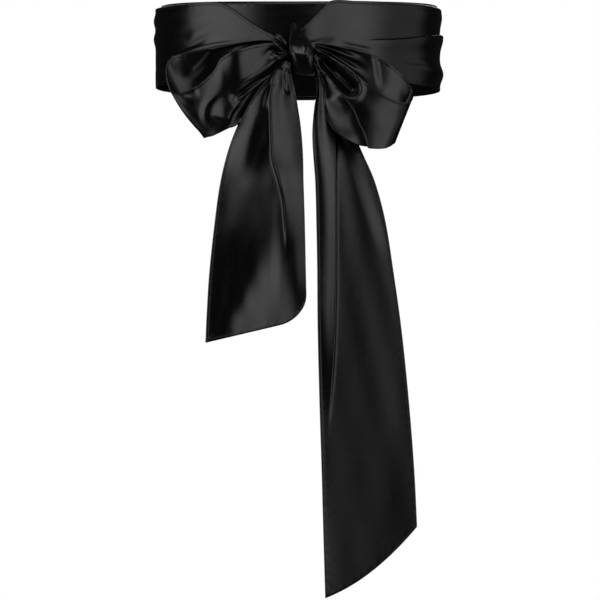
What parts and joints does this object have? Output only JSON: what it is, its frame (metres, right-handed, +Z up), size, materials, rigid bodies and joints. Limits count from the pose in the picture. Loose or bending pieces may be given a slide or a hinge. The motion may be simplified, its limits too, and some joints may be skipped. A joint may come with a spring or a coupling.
{
  "type": "satin sash",
  "caption": "Wide satin sash wound round a waist and tied in front in a soft bow with long slanted tails.",
  "frame": {"origin": "middle of the waist that the sash is wound round, about half way up the wound band", "axes": "+Z up along the wearer's body, -Y to the front where the bow is, +X to the right in a front view"},
  "size_m": [0.2661, 0.2329, 0.5253],
  "materials": {
    "first_turn": "black satin, glossy face outwards",
    "right_turn": "black satin, glossy face outwards",
    "left_turn": "black satin, glossy face outwards",
    "right_loop": "black satin, glossy on both sides",
    "left_loop": "black satin, glossy on both sides",
    "right_tail": "black satin with a narrow hem",
    "left_tail": "black satin with a narrow hem",
    "knot": "black satin, gathered",
    "knot_ear": "black satin, rolled"
  },
  "bodies": {
    "root": {"first_turn": "first_turn", "right_turn": "right_turn", "left_turn": "left_turn", "right_loop": "right_loop", "left_loop": "left_loop", "right_tail": "right_tail", "left_tail": "left_tail", "knot": "knot", "knot_ear": "knot_ear"}
  },
  "joints": []
}
